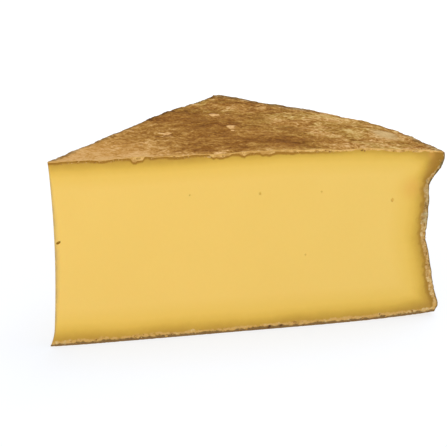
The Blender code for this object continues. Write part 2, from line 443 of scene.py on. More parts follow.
# where a point of the plain wedge ends up, and what its surface needs to know, with lengths in mm
def withRelief(point):
    radius = math.hypot(point.x, point.y)
    share = math.atan2(point.y, point.x) / wheel["angle"]
    angle = wheel["angle"] * crowded(share, grid["crowdAround"])
    height = point.z
    underTop = topHeight(radius) - height
    overBase = height - baseHeight(radius)
    inHeel = heelRadius(height) - radius
    radius = roundedEdge(radius, angle, height)
    pastEdge = radius - wornEdge(height) * (1.0 / math.sin(wheel["angle"] / 2.0) - 1.0)
    radius *= 1.0 + wheel["outOfRound"] / wheel["radius"] * share
    start = Vector((radius * math.cos(angle), radius * math.sin(angle), height))
    place = start.copy()
    fine, crest = rindRelief(start)

    place.z += topWave(start) * fade(underTop, relief["skin"]) * fade(-inHeel, relief["rimSmooth"])
    place.z += fine * fade(underTop, relief["fineSkin"])
    out = Vector((math.cos(angle), math.sin(angle), 0.0))
    offBase = 1.0 - fade(overBase, relief["rimSmooth"])
    offTop = 1.0 - fade(underTop, relief["lipSmooth"])
    place += out * heelWave(start) * fade(inHeel, relief["skin"]) * offBase
    place += out * fine * fade(inHeel, relief["fineSkin"]) * offBase * offTop
    pit = max(0.0, relief["basePit"] - 0.6 * fine)
    offCuts = 1.0 - fade(min(share, 1.0 - share), relief["basePitMargin"])
    place.z += pit * fade(overBase, relief["basePitReach"]) * offCuts
    spread = wheel["footSpread"] * max(1.0 - overBase / wheel["footHeight"], 0.0) ** 2
    place.x -= (spread + wheel["tipReach"]) * fade(radius, wheel["tipFade"])

    onFront = share < 0.5
    hangs, rises, reaches, stands = tornRim(start, onFront)
    torn = hangs - underTop
    foot = rises - overBase
    side = reaches - inHeel
    chipped = 0.0
    if share < 0.001 or share > 0.999:  # the point is on a cut
        rise, chipped = cutRelief(start, onFront, torn, max(foot, side), stands)
        turned = 0.0 if onFront else wheel["angle"]
        outward = -1.0 if onFront else 1.0
        place += Vector((-math.sin(turned), math.cos(turned), 0.0)) * outward * rise
    edgeShadeSide = min(2.0 * share, 1.0, 1.9 - 1.7 * share)  # painted shade, most in the middle of the thin edge
    facts = {
        "underTop": underTop / mm,
        "overBase": overBase / mm,
        "inHeel": inHeel / mm,
        "crest": crest,
        "torn": torn / mm,
        "foot": foot / mm,
        "side": side / mm,
        "chipped": chipped,
        "paintedEdgeShade": edgeShadeSide * fade(pastEdge - wheel["edgeShadeFrom"], wheel["edgeShadeOver"]),
        "fromFront": start.y / mm,
        "fromBack": radius * math.sin(max(wheel["angle"] - angle, 0.0)) / mm,
    }
    return place, facts


def addNode(tree, kind, values=None, **settings):
    node = tree.nodes.new(kind)
    for name, value in settings.items():
        setattr(node, name, value)
    for socket, value in (values or {}).items():
        if isinstance(value, bpy.types.NodeSocket):
            tree.links.new(value, node.inputs[socket])
        else:
            node.inputs[socket].default_value = value
    return node


def fact(tree, name):
    return addNode(tree, "ShaderNodeAttribute", attribute_name=name).outputs["Fac"]


def calc(tree, operation, a, b=0.0, c=0.0):
    return addNode(tree, "ShaderNodeMath", {0: a, 1: b, 2: c}, operation=operation).outputs[0]


# a smooth step of the value between two limits, downwards where the second is lower
def blendBetween(tree, value, low, high, fromValue=0.0, toValue=1.0):
    values = {"Value": value, "From Min": low, "From Max": high, "To Min": fromValue, "To Max": toValue}
    node = addNode(tree, "ShaderNodeMapRange", values, interpolation_type="SMOOTHSTEP")
    return node.outputs["Result"]


# 1 inside a band of the value, with a smooth step at each end
def bandBetween(tree, value, rise, fall):
    return calc(tree, "MULTIPLY", blendBetween(tree, value, *rise), blendBetween(tree, value, *fall))


def mixColour(tree, factor, a, b, blend="MIX"):
    values = {0: factor, 6: a, 7: b}
    return addNode(tree, "ShaderNodeMix", values, data_type="RGBA", blend_type=blend).outputs[2]


# a colour ramp from stops given as position and colour name
def ramp(tree, value, colours, stops):
    node = addNode(tree, "ShaderNodeValToRGB", {"Fac": value})
    elements = node.color_ramp.elements
    while len(elements) < len(stops):
        elements.new(0.5)
    for element, (position, name) in zip(elements, stops):
        element.position = position
        element.color = colours[name]
    return node.outputs["Color"]


# coordinates that follow the wheel: outward from the axis, along the rim, and up
def aroundWheel(tree):
    names = ("fromAxis", "alongRim", "overBase")
    values = {n: calc(tree, "MULTIPLY", fact(tree, name), mm) for n, name in enumerate(names)}
    return addNode(tree, "ShaderNodeCombineXYZ", values).outputs[0]


# noise from 0 to 1 whose blobs are about the given size in metres
def clouds(tree, size, detail, roughness, distortion=0.0, stretch=(1.0, 1.0, 1.0), place=None):
    coordinates = place or addNode(tree, "ShaderNodeTexCoord").outputs["Object"]
    mapped = addNode(tree, "ShaderNodeMapping", {"Vector": coordinates, "Scale": stretch}).outputs[0]
    values = {
        "Vector": mapped,
        "Scale": 1.0 / size,
        "Detail": detail,
        "Roughness": roughness,
        "Distortion": distortion,
    }
    return addNode(tree, "ShaderNodeTexNoise", values).outputs["Fac"]


# noise sits near the middle of its range, so this pulls two levels of it out to 0 and 1
def pulledOut(tree, value, low, high):
    values = {"Value": value, "From Min": low, "From Max": high}
    return addNode(tree, "ShaderNodeMapRange", values).outputs["Result"]


# marks by name, each from its size in mm, detail, roughness, distortion and the levels pulled out
def spottedMarks(tree, look):
    marks = {}
    for name, (size, detail, roughness, distortion, low, high) in look["spotted"].items():
        marks[name] = pulledOut(tree, clouds(tree, size * mm, detail, roughness, distortion), low, high)
    return marks


# display values from 0 to 255 as linear light, dimmed to a level
def srgb(red, green, blue, level=1.0):
    linear = []
    for value in (red, green, blue):
        share = value / 255.0
        light = share / 12.92 if share <= 0.04045 else ((share + 0.055) / 1.055) ** 2.4
        linear.append(light * level)
    return (*linear, 1.0)


# a look's colours as linear light, and its tints, which multiply a colour, as they are
def coloursOf(look):
    colours = {name: srgb(*display, look.get("light", 1.0)) for name, display in look["colours"].items()}
    colours.update({name: (*tint, 1.0) for name, tint in look.get("tints", {}).items()})
    return colours


def newMaterial(name, look):
    material = bpy.data.materials.new(name)
    material.use_nodes = True
    shader = material.node_tree.nodes["Principled BSDF"]
    shader.inputs["Roughness"].default_value = look["roughness"]
    shader.inputs["Specular IOR Level"].default_value = look["specular"]
    return material, material.node_tree, shader


def addBumps(tree, shader, height, strength, depth):
    values = {"Strength": strength, "Distance": depth, "Height": height}
    normal = addNode(tree, "ShaderNodeBump", values).outputs["Normal"]
    tree.links.new(normal, shader.inputs["Normal"])


def weighted(tree, *terms):
    total = None
    for value, weight in terms:
        part = calc(tree, "MULTIPLY", value, weight)
        total = part if total is None else calc(tree, "ADD", total, part)
    return total


# the named marks with their weights, for a weighted sum
def shares(marks, **weights):
    return [(marks[name], weight) for name, weight in weights.items()]


rindLook = {
    "roughness": 0.82,
    "specular": 0.05,
    "light": 0.90,  # the top takes more light than the cuts
    "bumpStrength": 0.8,
    "bumpDepth": 0.7 * mm,
    # size in mm, detail, roughness, distortion, and the levels pulled out
    "spotted": {
        "broad": (42.0, 2.0, 0.50, 0.4, 0.32, 0.68),
        "speck": (1.9, 2.0, 0.60, 0.0, 0.25, 0.75),
        "mossy": (23.0, 3.0, 0.60, 0.5, 0.44, 0.60),
    },
    # even on the flat rind and drawn out along the rim on the heel: size in mm, detail, distortion
    "brushed": {
        "patch": (12.0, 3.0, 1.0),
        "streak": (4.4, 3.0, 0.8),
        "wide": (17.0, 2.0, 0.6),
        "thin": (7.0, 2.0, 0.6),
    },
    "brushRoughness": 0.58,
    "brushStretch": (1.0, 0.55, 1.0),
    "patchLevels": (0.30, 0.70),
    "lineWidths": {"wide": 0.055, "thin": 0.10},
    "colours": {
        "deep": (118, 70, 18),
        "dark": (140, 88, 28),
        "brown": (158, 107, 42),
        "tan": (180, 130, 58),
        "light": (207, 158, 91),
        "cream": (237, 196, 137),
        "orange": (214, 156, 78),
        "lifted": (250, 206, 144),
        "liftedDark": (218, 164, 98),
        "ash": (214, 184, 130),
        "heel": (146, 118, 76),
        # torn: a painted highlight along the torn rim beside the front cut
        "torn": (224, 176, 96),
    },
    "tints": {"mossy": (0.92, 1.0, 0.86), "grey": (0.93, 0.95, 1.14), "paintedShade": (0.60, 0.66, 0.84)},
    "stops": (
        (0.22, "deep"),
        (0.34, "dark"),
        (0.46, "brown"),
        (0.58, "tan"),
        (0.72, "light"),
        (0.88, "cream"),
    ),
}


def brushed(tree, upright, ring, size, detail, distortion):
    roughness = rindLook["brushRoughness"]
    flat = clouds(tree, size, detail, roughness, distortion)
    drawn = clouds(tree, size, detail, roughness, distortion, rindLook["brushStretch"], ring)
    change = calc(tree, "SUBTRACT", drawn, flat)
    return calc(tree, "MULTIPLY_ADD", change, upright, flat)


# thin wandering lines, 1 along the middle of a line and 0 beside it
def veins(tree, noisy, width):
    off = calc(tree, "ABSOLUTE", calc(tree, "SUBTRACT", noisy, 0.5))
    return blendBetween(tree, off, width, 0.0)


# parts of the rind, 1 inside each and 0 outside, with limits in mm
def rindAreas(tree):
    under = fact(tree, "underTop")
    out = fact(tree, "fromAxis")
    aboveFoot = blendBetween(tree, fact(tree, "overBase"), 1.0, 7.0)
    atHeel = blendBetween(tree, fact(tree, "inHeel"), 3.0, 1.0)
    return {
        "upright": calc(tree, "MULTIPLY", blendBetween(tree, under, 1.0, 7.0), aboveFoot),
        "outer": blendBetween(tree, out, 150.0, 215.0),
        "heelFace": calc(tree, "MULTIPLY", atHeel, blendBetween(tree, under, 6.0, 20.0)),
        "towardsTip": blendBetween(tree, out, 108.0, 38.0),
    }


def rindMarks(tree, upright):
    ring = aroundWheel(tree)
    marks = spottedMarks(tree, rindLook)
    for name, (size, detail, distortion) in rindLook["brushed"].items():
        marks[name] = brushed(tree, upright, ring, size * mm, detail, distortion)
    for name in ("patch", "streak"):
        marks[name] = pulledOut(tree, marks[name], *rindLook["patchLevels"])
    for name, width in rindLook["lineWidths"].items():
        marks[name] = veins(tree, marks[name], width)
    return marks


# how light the rind is, about 0.2 at its darkest and 0.9 at its palest
def rindTone(tree, areas, marks):
    outerLines = calc(tree, "MULTIPLY", marks["wide"], areas["outer"])
    lines = weighted(tree, *shares(marks, wide=0.06, thin=0.10), (outerLines, 0.10))
    paleStreaks = calc(tree, "MULTIPLY", fact(tree, "pale"), marks["streak"])
    besideCut = blendBetween(tree, fact(tree, "fromFront"), 11.0, 4.0)
    calmed = weighted(tree, (marks["streak"], 0.12), (lines, 0.5))
    return weighted(
        tree,
        *shares(marks, broad=0.16, patch=0.26, streak=0.30, speck=0.34),
        # painted shade in the hollows of the wrinkles and painted highlight on their crests
        (fact(tree, "crest"), 0.08),
        (lines, 1.0),
        (paleStreaks, 0.14),
        *shares(areas, towardsTip=0.19, outer=0.07),
        (fact(tree, "dark"), -0.22),
        (areas["heelFace"], -0.07),
        (besideCut, 0.08),
        (calc(tree, "MULTIPLY", fact(tree, "calm"), calmed), -1.0),
        (1.0, -0.055),
    )


# far out the flat rind has a green cast in patches
def withMoss(tree, areas, marks, colours, colour):
    farOut = blendBetween(tree, fact(tree, "fromAxis"), 120.0, 220.0, 0.2, 1.0)
    greenish = calc(tree, "MULTIPLY", marks["mossy"], farOut)
    greenish = calc(tree, "MULTIPLY", greenish, calc(tree, "MULTIPLY_ADD", areas["upright"], -0.6, 1.0))
    return mixColour(tree, greenish, colour, colours["mossy"], "MULTIPLY")


# where dry skin has lifted, its pale side shows
def withLiftedSkin(tree, marks, colours, colour):
    lifted = weighted(tree, (fact(tree, "pale"), 0.5), *shares(marks, streak=0.35, speck=0.25, patch=0.15))
    liftedTone = weighted(tree, *shares(marks, speck=0.6, streak=0.4))
    share = blendBetween(tree, liftedTone, 0.25, 0.75)
    paleSide = mixColour(tree, share, colours["liftedDark"], colours["lifted"])
    return mixColour(tree, blendBetween(tree, lifted, 0.95, 1.25, 0.0, 0.85), colour, paleSide)


def withAsh(tree, areas, marks, colours, colour):
    patchy = shares(marks, streak=0.35, speck=0.25)
    ashen = weighted(tree, (fact(tree, "ash"), 1.0), *patchy, (areas["upright"], -1.0), (1.0, -0.3))
    return mixColour(tree, blendBetween(tree, ashen, 0.2, 0.85, 0.0, 0.75), colour, colours["ash"])


# the rim and the back edge are grey with dust, and painted shade darkens them towards the back cut and
# beside the front one
def withDustAndPaintedShade(tree, marks, colours, colour):
    along = fact(tree, "alongRim")
    shaded = blendBetween(tree, along, 64.0, 82.0)
    inHeel = fact(tree, "inHeel")
    # where that painted shade is full, the dark band of the rim reaches deeper
    rimDepth = weighted(tree, (inHeel, 1.0), *shares(marks, patch=5.0, streak=3.0), (shaded, -8.0))
    rim = blendBetween(tree, rimDepth, 12.0, 6.0)
    backDepth = weighted(tree, (fact(tree, "fromBack"), 1.0), *shares(marks, patch=3.0, streak=2.0))
    back = blendBetween(tree, backDepth, 7.0, 3.0)
    lipDepth = weighted(tree, (fact(tree, "underTop"), 1.0), (marks["streak"], 3.0))
    dustAndShade = calc(tree, "MAXIMUM", rim, back)
    dustAndShade = calc(tree, "MULTIPLY", dustAndShade, blendBetween(tree, lipDepth, 6.0, 2.0))
    # painted shade: how far the grey of the dust turns to the dim tint
    darker = calc(tree, "MAXIMUM", shaded, blendBetween(tree, along, 30.0, 20.0, 0.0, 0.9))
    worn = mixColour(tree, darker, colours["grey"], colours["paintedShade"])
    return mixColour(tree, dustAndShade, colour, worn, "MULTIPLY")


def rindMaterial():
    material, tree, shader = newMaterial("brushed_rind", rindLook)
    colours = coloursOf(rindLook)
    areas = rindAreas(tree)
    marks = rindMarks(tree, areas["upright"])
    colour = ramp(tree, rindTone(tree, areas, marks), colours, rindLook["stops"])
    colour = withMoss(tree, areas, marks, colours, colour)
    colour = withLiftedSkin(tree, marks, colours, colour)
    colour = mixColour(tree, calc(tree, "MULTIPLY", areas["heelFace"], 0.25), colour, colours["heel"])
    colour = mixColour(tree, calc(tree, "MULTIPLY", areas["towardsTip"], 0.45), colour, colours["orange"])
    colour = withAsh(tree, areas, marks, colours, colour)
    colour = withDustAndPaintedShade(tree, marks, colours, colour)
    # a painted highlight: a pale line along the front cut, where the top rim of the torn rind catches the
    # light
    edge = weighted(tree, (fact(tree, "fromFront"), 1.0), *shares(marks, streak=1.8, speck=1.0))
    colour = mixColour(tree, blendBetween(tree, edge, 3.8, 1.9, 0.0, 0.9), colour, colours["torn"])
    tree.links.new(colour, shader.inputs["Base Color"])
    roughness = weighted(tree, *shares(marks, speck=0.2, streak=-0.1), (1.0, 0.74))
    tree.links.new(roughness, shader.inputs["Roughness"])
    height = weighted(tree, *shares(marks, streak=0.5, speck=0.3, thin=0.3))
    addBumps(tree, shader, height, rindLook["bumpStrength"], rindLook["bumpDepth"])
    return material


pasteLook = {
    "roughness": 0.55,
    "specular": 0.14,
    "scatter": 0.10,  # light that enters the paste, how far each colour goes, and the scale of that
    "scatterReach": (1.0, 0.55, 0.2),
    "scatterScale": 2.5 * mm,
    "bumpDepth": 0.5 * mm,
    "dryDepth": 32.0,  # in mm, how deep under the rind the paste is drier and darker
    # size in mm, detail, roughness
    "cloudy": {"soft": (32.0, 3.0, 0.5), "grain": (2.6, 3.0, 0.6)},
    # size in mm, detail, roughness, distortion, and the levels pulled out
    "spotted": {
        "flecks": (2.4, 3.0, 0.65, 0.0, 0.30, 0.70),
        "lumps": (4.6, 2.0, 0.60, 0.0, 0.30, 0.70),
        "clustered": (15.0, 2.0, 0.55, 0.0, 0.36, 0.64),
    },
    "colours": {
        "paste": (243, 202, 104),
        "straw": (238, 196, 92),
        "near": (228, 185, 80),
        "amber": (211, 168, 67),
        "under": (198, 154, 60),
        "skin": (184, 140, 56),
        "rindTan": (194, 152, 90),
        "rindDark": (122, 88, 38),
        "rindPale": (226, 196, 138),
        "baseTan": (210, 170, 102),
        "footTan": (217, 173, 99),
        "outerLine": (118, 92, 48),
        "shadeUnderLip": (84, 72, 32),
        "torn": (196, 148, 74),
        "tornPale": (228, 184, 108),
        # line: painted shade at the very foot
        "line": (112, 84, 48),
        "olive": (162, 120, 40),
        "shade": (160, 112, 34),
        "warm": (230, 172, 82),
        "chipShade": (92, 56, 24),
        # edge: painted shade along the rounded thin edge
        "edge": (184, 152, 96),
        "heelDarkAndLipShade": (164, 116, 38),
    },
    "tints": {"weathered": (0.72, 0.86, 1.15), "greener": (0.978, 0.997, 1.0)},
    "pasteStops": (
        (0.06, "skin"),
        (0.17, "under"),
        (0.26, "amber"),
        (0.37, "near"),
        (0.53, "straw"),
        (0.90, "paste"),
    ),
    "heelStops": ((0.14, "rindDark"), (0.32, "rindTan"), (0.54, "baseTan"), (0.74, "rindPale")),
    "baseStops": ((0.08, "skin"), (0.30, "footTan"), (0.58, "footTan"), (0.88, "rindPale")),
}


# the plain paste, drier and darker near the rind, with painted shade along the thin edge and in the corner
# under the upper lip
def driedPasteWithPaintedShade(tree, marks, colours):
    heel = fact(tree, "inHeel")
    out = fact(tree, "fromAxis")
    deeper = blendBetween(tree, out, 60.0, 200.0, 1.6, 4.4)
    depth = weighted(tree, (fact(tree, "underTop"), 1.35), (deeper, 1.0))
    depth = calc(tree, "SMOOTH_MIN", depth, calc(tree, "MULTIPLY", fact(tree, "overBase"), 1.1), 5.0)
    depth = calc(tree, "SMOOTH_MIN", depth, heel, 6.0)
    patchy = shares(marks, lumps=0.8, soft=4.4)
    depth = weighted(tree, (depth, 1.0), *patchy, (fact(tree, "cornerDarkening"), -1.0), (1.0, -2.0))
    share = calc(tree, "DIVIDE", depth, pasteLook["dryDepth"])
    colour = ramp(tree, share, colours, pasteLook["pasteStops"])
    colour = mixColour(tree, blendBetween(tree, out, 90.0, 230.0), colour, colours["greener"], "MULTIPLY")
    tint = weighted(tree, *shares(marks, soft=0.6, grain=0.4))
    colour = mixColour(tree, blendBetween(tree, tint, 0.35, 0.65, 0.0, 0.08), colour, colours["near"])
    # darker paste beside the heel, and painted shade in the corner under the upper lip
    heelDarkAndLipShade = weighted(tree, (fact(tree, "corner"), 6.0), (heel, -1.0), (marks["lumps"], 1.5))
    colour = mixColour(tree, blendBetween(tree, heelDarkAndLipShade, -8.0, 3.0, 0.0, 0.85), colour, colours["heelDarkAndLipShade"])
    colour = mixColour(tree, fact(tree, "warm"), colour, colours["warm"])
    # painted shade along the rounded thin edge
    mottled = weighted(tree, (marks["lumps"], 0.5), (1.0, 0.42))
    edgeShadeShare = calc(tree, "MULTIPLY", fact(tree, "paintedEdgeShade"), mottled)
    return mixColour(tree, edgeShadeShare, colour, colours["edge"])


# the rind where it is cut through at the base and the heel
def cutRind(tree, marks, colours):
    base = fact(tree, "overBase")
    outer = blendBetween(tree, fact(tree, "fromAxis"), 150.0, 200.0)
    grit = weighted(tree, *shares(marks, flecks=0.7, lumps=0.3))
    heelRind = ramp(tree, grit, colours, pasteLook["heelStops"])
    baseGrit = weighted(tree, (grit, 0.75), (marks["clustered"], 0.4), (outer, 0.12), (1.0, -0.12))
    baseRind = ramp(tree, baseGrit, colours, pasteLook["baseStops"])
    upper = bandBetween(tree, base, (52.0, 74.0), (102.0, 94.0))
    greyer = calc(tree, "MULTIPLY", upper, blendBetween(tree, marks["lumps"], 0.2, 0.8, 0.3, 1.0))
    heelRind = mixColour(tree, greyer, heelRind, colours["weathered"], "MULTIPLY")
    return mixColour(tree, blendBetween(tree, base, 12.0, 5.0), heelRind, baseRind)


# dark lines: painted shade at the very foot where it meets the table, and the heel's outermost skin,
# darkened under the upper lip by painted shade
def withDarkLinesAndPaintedShade(tree, marks, colours, colour):
    base = fact(tree, "overBase")
    # painted shade where the foot meets the table
    paintedFootShade = weighted(tree, (base, 1.0), *shares(marks, lumps=1.4, flecks=0.6))
    colour = mixColour(tree, blendBetween(tree, paintedFootShade, 3.5, 2.3, 0.0, 0.85), colour, colours["line"])
    # painted shade under the upper lip
    shadeUnderLip = bandBetween(tree, base, (90.0, 97.0), (113.0, 107.0))
    patchy = shares(marks, lumps=0.8, flecks=0.6)
    outermost = weighted(tree, (fact(tree, "inHeel"), 1.0), *patchy, (shadeUnderLip, -0.9))
    darkest = mixColour(tree, shadeUnderLip, colours["outerLine"], colours["shadeUnderLip"])
    return mixColour(tree, blendBetween(tree, outermost, 2.0, 1.0, 0.0, 0.8), colour, darkest)


# torn rind under the top, paler far out, with a shaded line below it where it overhangs
def withTornRind(tree, marks, colours, colour, torn):
    outer = fact(tree, "fromAxis")
    lineDepth = blendBetween(tree, outer, 160.0, 205.0, 0.95, 0.1)
    shade = calc(tree, "MULTIPLY", blendBetween(tree, torn, -2.2, -0.8), lineDepth)
    colour = mixColour(tree, shade, colour, colours["shade"])
    paler = weighted(tree, (marks["lumps"], 1.0), (blendBetween(tree, outer, 160.0, 205.0), 0.15))
    tornColour = mixColour(tree, blendBetween(tree, paler, 0.3, 0.8), colours["torn"], colours["tornPale"])
    return mixColour(tree, blendBetween(tree, torn, -0.1, 0.25), colour, tornColour)


def pasteMaterial():
    material, tree, shader = newMaterial("straw_paste", pasteLook)
    colours = coloursOf(pasteLook)
    marks = spottedMarks(tree, pasteLook)
    for name, (size, detail, roughness) in pasteLook["cloudy"].items():
        marks[name] = clouds(tree, size * mm, detail, roughness)
    colour = driedPasteWithPaintedShade(tree, marks, colours)
    ragged = weighted(tree, (marks["flecks"], 1.2), (1.0, -0.6))
    side = fact(tree, "side")
    wider = blendBetween(tree, fact(tree, "overBase"), 96.0, 104.0, 0.9, -0.5)
    gritty = calc(tree, "MAXIMUM", fact(tree, "foot"), calc(tree, "ADD", side, wider))
    gritty = calc(tree, "ADD", gritty, ragged)
    torn = calc(tree, "ADD", fact(tree, "torn"), calc(tree, "MULTIPLY", ragged, 0.5))
    nearHeel = weighted(tree, (side, 1.0), *shares(marks, lumps=2.0, soft=3.0), (1.0, -2.5))
    colour = mixColour(tree, blendBetween(tree, nearHeel, -4.4, -1.2, 0.0, 0.72), colour, colours["olive"])
    rindShare = blendBetween(tree, gritty, -0.7, 0.6, 0.0, 0.85)
    colour = mixColour(tree, rindShare, colour, cutRind(tree, marks, colours))
    colour = withDarkLinesAndPaintedShade(tree, marks, colours, colour)
    colour = withTornRind(tree, marks, colours, colour, torn)
    # painted shade inside the chips
    chipShade = weighted(tree, (fact(tree, "chipped"), 1.0), (marks["flecks"], 0.2))
    colour = mixColour(tree, blendBetween(tree, chipShade, 0.25, 0.7, 0.0, 0.9), colour, colours["chipShade"])
    tree.links.new(colour, shader.inputs["Base Color"])
    height = weighted(tree, *shares(marks, grain=0.5, flecks=0.5))
    strength = blendBetween(tree, calc(tree, "MAXIMUM", gritty, torn), -0.4, 0.3, 0.12, 0.9)
    addBumps(tree, shader, height, strength, pasteLook["bumpDepth"])
    shader.inputs["Subsurface Weight"].default_value = pasteLook["scatter"]
    shader.inputs["Subsurface Radius"].default_value = pasteLook["scatterReach"]
    shader.inputs["Subsurface Scale"].default_value = pasteLook["scatterScale"]
    return material


# the slit in the rounded thin edge, and the pinholes in the cuts: distance from the axis, height, scale
holes = {
    "slit": (5.5 * mm, 0.5 * mm, 71.5 * mm),
    "slitSize": (0.9 * mm, 1.1 * mm, 2.0 * mm),  # half sizes across, into the paste and up
    "slitTilt": math.radians(56.0),
    "pinholes": (
        (92.2 * mm, 98.3 * mm, 0.9),
        (139.8 * mm, 96.5 * mm, 1.3),
        (172.1 * mm, 51.8 * mm, 0.9),
        (182.4 * mm, 95.3 * mm, 0.9),
        (233.1 * mm, 86.3 * mm, 1.6),
    ),
    "backPinholes": (
        (76.0 * mm, 38.0 * mm, 0.9),
        (128.0 * mm, 67.0 * mm, 1.1),
        (201.0 * mm, 91.0 * mm, 1.3),
        (214.0 * mm, 44.0 * mm, 0.9),
    ),
    "pinholeSize": (0.7 * mm, 0.4 * mm, 0.85 * mm),
    "segments": 14,
    "rings": 10,
    "rough": 0.2 * mm,
    "roughLength": 1.1 * mm,
    # what the paste's colour reads at the rim of a hole
    "rimFacts": {
        "chipped": 0.0,
        "paintedEdgeShade": 0.1,
        "underTop": 30.0,
        "overBase": 50.0,
        "inHeel": 60.0,
        "torn": -20.0,
        "foot": -20.0,
        "side": -20.0,
    },
}
hollowLook = {
    "roughness": 0.7,
    "specular": 0.1,
    "spotted": {"tone": (0.8, 2.0, 0.6, 0.0, 0.3, 0.7)},
    "stops": ((0.2, "dark"), (0.8, "light")),
    # the slit and the pinholes are painted darker than the paste, as painted shade inside them
    "dark_slit": {"colours": {"dark": (158, 116, 34), "light": (196, 152, 56)}},
    "pinhole": {"colours": {"dark": (212, 172, 78), "light": (232, 194, 98)}},
}


def hollowMaterial(name):
    material, tree, shader = newMaterial(name, hollowLook)
    tone = spottedMarks(tree, hollowLook)["tone"]
    colour = ramp(tree, tone, coloursOf(hollowLook[name]), hollowLook["stops"])
    tree.links.new(colour, shader.inputs["Base Color"])
    return material


def addHollow(bm, place, size, tilt):
    turn = Matrix.Rotation(tilt, 4, "Y")
    at = Matrix.Translation(axisAt + Vector(place))
    stretch = Matrix.Diagonal((*size, 1.0))
    matrix = at @ turn @ stretch
    bmesh.ops.create_uvsphere(
        bm, u_segments=holes["segments"], v_segments=holes["rings"], radius=1.0, matrix=matrix
    )


def hollowsMesh():
    bm = bmesh.new()
    addHollow(bm, holes["slit"], holes["slitSize"], holes["slitTilt"])
    slitFaces = len(bm.faces)
    for turned, pinholes in ((0.0, holes["pinholes"]), (wheel["angle"], holes["backPinholes"])):
        for out, height, scale in pinholes:
            place = (out * math.cos(turned), out * math.sin(turned), height)
            addHollow(bm, place, [scale * half for half in holes["pinholeSize"]], 0.0)
    for vert in bm.verts:
        vert.co += holes["rough"] * noise.noise_vector(vert.co / holes["roughLength"])
    for n, face in enumerate(bm.faces):
        face.material_index = materialSlots["slit"] if n < slitFaces else materialSlots["pinhole"]
        face.smooth = True
    mesh = bpy.data.meshes.new("holes")
    bm.to_mesh(mesh)
    bm.free()
    return mesh


def withHoles(mesh):
    whole = newObject("whole", mesh)
    cutter = newObject("holes", hollowsMesh())
    cut = whole.modifiers.new("holes", "BOOLEAN")
    cut.solver = "EXACT"
    cut.object = cutter
    result = appliedMesh(whole)
    bpy.data.objects.remove(cutter)
    for polygon in result.polygons:
        if polygon.material_index >= materialSlots["slit"]:
            for corner in polygon.vertices:
                for name, value in holes["rimFacts"].items():
                    result.attributes[name].data[corner].value = value
    return result


# places that differ from the rest of the surface; on the top rind, x, y, radius in mm and strength
patches = {
    "pale": (
        (137.8, 129.5, 8.0, 2.6),
        (137.6, 122.0, 8.0, 2.6),
        (139.4, 79.5, 7.0, 2.6),
        (138.6, 73.0, 5.0, 2.0),
        (138.0, 66.0, 6.0, 1.8),
        (66.0, 34.0, 16.0, 0.7),
        (90.7, 67.4, 6.0, 1.6),
        (69.3, 38.8, 6.0, 1.3),
        (87.1, 28.0, 5.0, 1.5),
        (112.0, 3.0, 8.0, 2.2),
        (119.0, 7.0, 5.0, 1.8),
        (128.0, 2.0, 5.0, 1.6),
        (146.0, 2.0, 6.0, 1.6),
        (57.0, 4.0, 8.0, 0.8),
        (92.0, 78.0, 6.0, 1.6),
        (105.0, 60.0, 5.0, 1.4),
        (243.0, 46.0, 18.0, 0.8),
        (192.0, 56.0, 22.0, 0.8),
        (212.0, 106.0, 16.0, 0.4),
        (204.0, 10.0, 18.0, 0.5),
        (89.0, 60.0, 15.0, 1.5),
        (60.0, 18.0, 18.0, 0.3),
    ),
    "dark": (
        (128.0, 91.0, 22.0, 0.6),
        (168.0, 28.0, 24.0, 0.5),
        (124.0, 146.0, 34.0, 0.9),
        (162.0, 122.0, 36.0, 0.65),
        (190.0, 140.0, 34.0, 0.55),
        (158.0, 186.0, 44.0, 0.8),
        (92.0, 22.0, 20.0, 0.6),
        (72.0, 66.0, 18.0, 0.3),
        (114.0, 40.0, 34.0, -0.3),
        (150.0, 50.0, 20.0, -0.3),
        (196.0, 28.0, 16.0, 0.35),
        (212.0, 36.0, 18.0, 0.3),
        (252.0, 16.0, 22.0, 0.9),
        (250.0, 76.0, 14.0, 0.2),
    ),
    "ash": (245.0, 50.0, 16.0, 30.0),  # a pale grey bloom: x, y and half sizes
    # warmer smudges on the front cut: x, height, half sizes and strength
    "warm": ((246.5, 94.0, 11.0, 12.0, 0.5), (260.0, 117.5, 4.0, 6.0, 0.4)),
    # on both cuts, distance from the axis, height and half sizes
    "lipCorner": (270.0, 112.0, 30.0, 26.0),  # painted shade on the paste under the upper lip
    "footCorner": (268.0, 2.0, 42.0, 26.0),  # paste over the lower lip, which is only darker
    "lipShadeDepth": 9.0,  # in mm, how much nearer the rind the paste seems there: painted shade under the upper lip, and only darker over the lower one
    "footDarkening": 6.0,
    "calm": (150.0, 0.0, 80.0, 1.0),  # a ring of plainer rind: how far out, and half its width
    "arcRadius": 130.0,  # in mm, where lengths along the rim are true for the marks
}
# what each point of the surface carries for the materials
factNames = (
    "underTop", "overBase", "inHeel", "fromFront", "fromBack", "fromAxis", "alongRim",
    "crest", "torn", "foot", "side", "chipped", "paintedEdgeShade",
    "pale", "dark", "ash", "warm", "corner", "cornerDarkening", "calm",
)


def spotsAt(x, y, spots):
    return sum(strength * bump(x, y, spotX, spotY, reach, reach) for spotX, spotY, reach, strength in spots)


# what the patches say at a place in mm
def patchFacts(x, y, z):
    out = math.hypot(x, y)
    corner = bump(out, z, *patches["lipCorner"])
    atFoot = bump(out, z, *patches["footCorner"])
    return {
        "fromAxis": out,
        "alongRim": patches["arcRadius"] * math.atan2(y, x),
        "pale": spotsAt(x, y, patches["pale"]),
        "dark": spotsAt(x, y, patches["dark"]),
        "ash": bump(x, y, *patches["ash"]),
        "warm": sum(strength * bump(x, z, *patch) for *patch, strength in patches["warm"]),
        "corner": corner,
        "cornerDarkening": patches["lipShadeDepth"] * corner + patches["footDarkening"] * atFoot,
        "calm": bump(out, 0.0, *patches["calm"]),
    }


